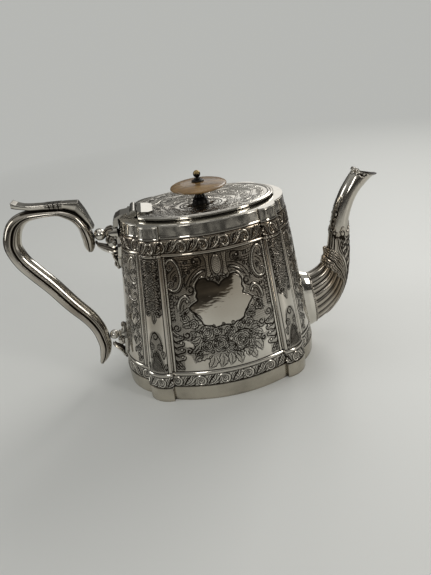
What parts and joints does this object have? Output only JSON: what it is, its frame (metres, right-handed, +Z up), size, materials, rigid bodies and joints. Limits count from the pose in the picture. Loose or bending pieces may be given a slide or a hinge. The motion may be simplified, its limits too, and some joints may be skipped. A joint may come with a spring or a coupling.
{
  "type": "teapot",
  "caption": "Oval engraved silver teapot with corner pilasters, a fluted swan-neck spout, an angular scroll handle and a hinged lid with a disc finial",
  "frame": {"origin": "middle of the flat underside of the foot band, on the table", "axes": "+X points from the body to the spout, +Z points up, and +Y points across the body to its back panel"},
  "size_m": [0.265, 0.106, 0.1527],
  "materials": {
    "engraved_silver": "silver plate engraved with scrolls and flowers, dark tarnish in the recesses and worn bright highs",
    "plain_silver": "plain polished silver plate with light wear",
    "cast_silver": "cast silver plate with dark tarnish in its hollows",
    "dark_metal": "blackened metal, worn to brass on the ball",
    "bone": "polished bone, aged brown"
  },
  "bodies": {
    "pot": {"body_shell": "engraved_silver", "foot_band": "plain_silver", "bottom_plate": "plain_silver", "rim_plate": "plain_silver", "spout": "cast_silver", "spout_collar": "plain_silver", "spout_leaf": "cast_silver", "handle": "plain_silver", "grip_plate": "plain_silver", "upper_ball": "plain_silver", "lower_ball": "plain_silver", "upper_bracket": "cast_silver", "lower_bracket": "cast_silver", "hinge_bracket": "cast_silver", "hinge_pin": "plain_silver"},
    "lid": {"lid_plate": "engraved_silver", "lid_bezel": "plain_silver", "lid_hinge_leaf": "plain_silver", "finial_stem": "dark_metal", "finial_disc": "bone", "finial_collar": "dark_metal", "finial_nut": "dark_metal", "finial_stud": "dark_metal", "finial_wing_nut": "plain_silver"}
  },
  "joints": [
    {"name": "lid_hinge", "type": "hinge", "parent": "pot", "child": "lid", "pos_m": [-0.0465, 0, 0.1332], "axis": [0, -1, 0], "range_deg": [0, 100]}
  ]
}
